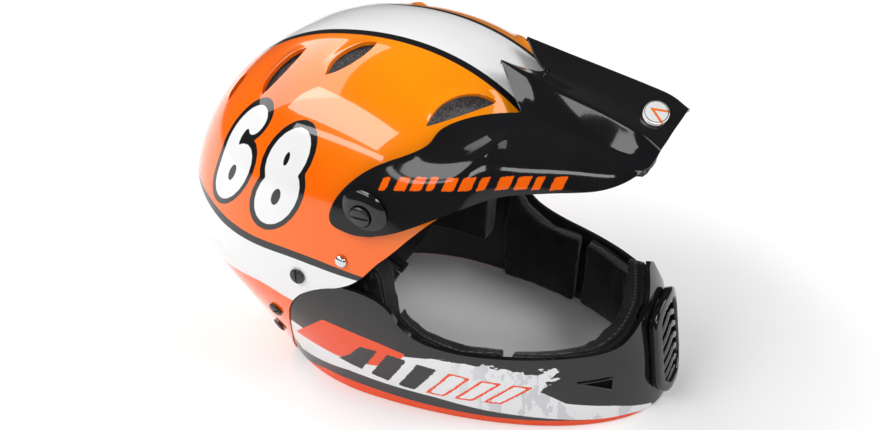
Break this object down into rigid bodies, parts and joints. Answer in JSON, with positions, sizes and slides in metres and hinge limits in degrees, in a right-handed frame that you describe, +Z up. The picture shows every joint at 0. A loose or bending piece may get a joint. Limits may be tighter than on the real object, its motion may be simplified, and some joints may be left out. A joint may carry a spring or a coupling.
{
  "type": "motocross helmet",
  "caption": "Full-face off-road helmet with a foam liner, bolt-on chin guard, tilting visor, comfort pads and a buckled chin strap.",
  "frame": {"origin": "middle of the base, under the centre of the bounding box, on the plane the helmet stands on", "axes": "+Z up, -Y towards the front of the helmet, +X towards the wearer's left"},
  "size_m": [0.2188, 0.3284, 0.2168],
  "materials": {
    "shell_paint": "glossy orange paint with white and black stripes",
    "black_gloss": "glossy black moulded plastic",
    "black_matte": "satin black moulded plastic",
    "button": "red moulded plastic",
    "badge": "white print",
    "foam": "grey bead foam",
    "padding": "black brushed cloth over soft foam",
    "filter": "open-cell black foam",
    "webbing": "black woven webbing",
    "screw": "black nylon, slotted",
    "steel": "bright plated"
  },
  "bodies": {
    "shell": {"brow_pad": "padding", "cheek_pad_left": "padding", "cheek_pad_right": "padding", "chin_guard": "black_gloss", "chin_pad_front": "padding", "chin_pad_left": "padding", "chin_pad_right": "padding", "crown_pad": "padding", "eps_liner": "foam", "guard_nut_1_left": "steel", "guard_nut_1_right": "steel", "guard_nut_2_left": "steel", "guard_nut_2_right": "steel", "guard_nut_3_left": "steel", "guard_nut_3_right": "steel", "guard_screw_1_left": "screw", "guard_screw_1_right": "screw", "guard_screw_2_left": "screw", "guard_screw_2_right": "screw", "guard_screw_3_left": "screw", "guard_screw_3_right": "screw", "mouth_filter": "filter", "mouth_grille": "black_gloss", "neck_roll": "padding", "outer_shell": "shell_paint", "rear_pad": "padding", "strap_rivet_left": "steel", "strap_rivet_right": "steel", "temple_pad_left": "padding", "temple_pad_right": "padding", "visor_nut_left": "steel", "visor_nut_right": "steel"},
    "visor": {"visor": "black_gloss", "visor_badge": "badge"},
    "visor_screw_left": {"visor_screw_left": "screw"},
    "visor_screw_right": {"visor_screw_right": "screw"},
    "strap": {"strap_left": "webbing", "strap_right": "webbing", "buckle_socket": "black_matte"},
    "buckle_plug": {"buckle_plug": "black_matte"},
    "buckle_button": {"buckle_button": "button"},
    "strap_slider": {"strap_slider": "black_matte"}
  },
  "joints": [
    {"name": "visor_tilt", "type": "hinge", "parent": "shell", "child": "visor", "pos_m": [0, 0.0017, 0.141], "axis": [-1, 0, 0], "range_deg": [-4, 14]},
    {"name": "visor_screw_left_turn", "type": "hinge", "parent": "shell", "child": "visor_screw_left", "pos_m": [0.1, 0.0017, 0.141], "axis": [1, 0, 0], "continuous": true},
    {"name": "visor_screw_right_turn", "type": "hinge", "parent": "shell", "child": "visor_screw_right", "pos_m": [-0.1, 0.0017, 0.141], "axis": [1, 0, 0], "continuous": true},
    {"name": "chin_strap_swing", "type": "hinge", "parent": "shell", "child": "strap", "pos_m": [0, 0.0147, 0.108], "axis": [1, 0, 0], "range_deg": [-10, 2]},
    {"name": "buckle_release", "type": "slide", "parent": "strap", "child": "buckle_plug", "axis": [-1, 0, 0], "range_m": [0, 0.02], "deforming": ["strap_right"]},
    {"name": "buckle_button_press", "type": "slide", "parent": "strap", "child": "buckle_button", "axis": [0, -0.4226, 0.9063], "range_m": [0, 0.0013], "stiffness_N_per_m": 400},
    {"name": "strap_slider_slide", "type": "slide", "parent": "strap", "child": "strap_slider", "axis": [1, 0, 0], "range_m": [-0.006, 0.004]}
  ]
}
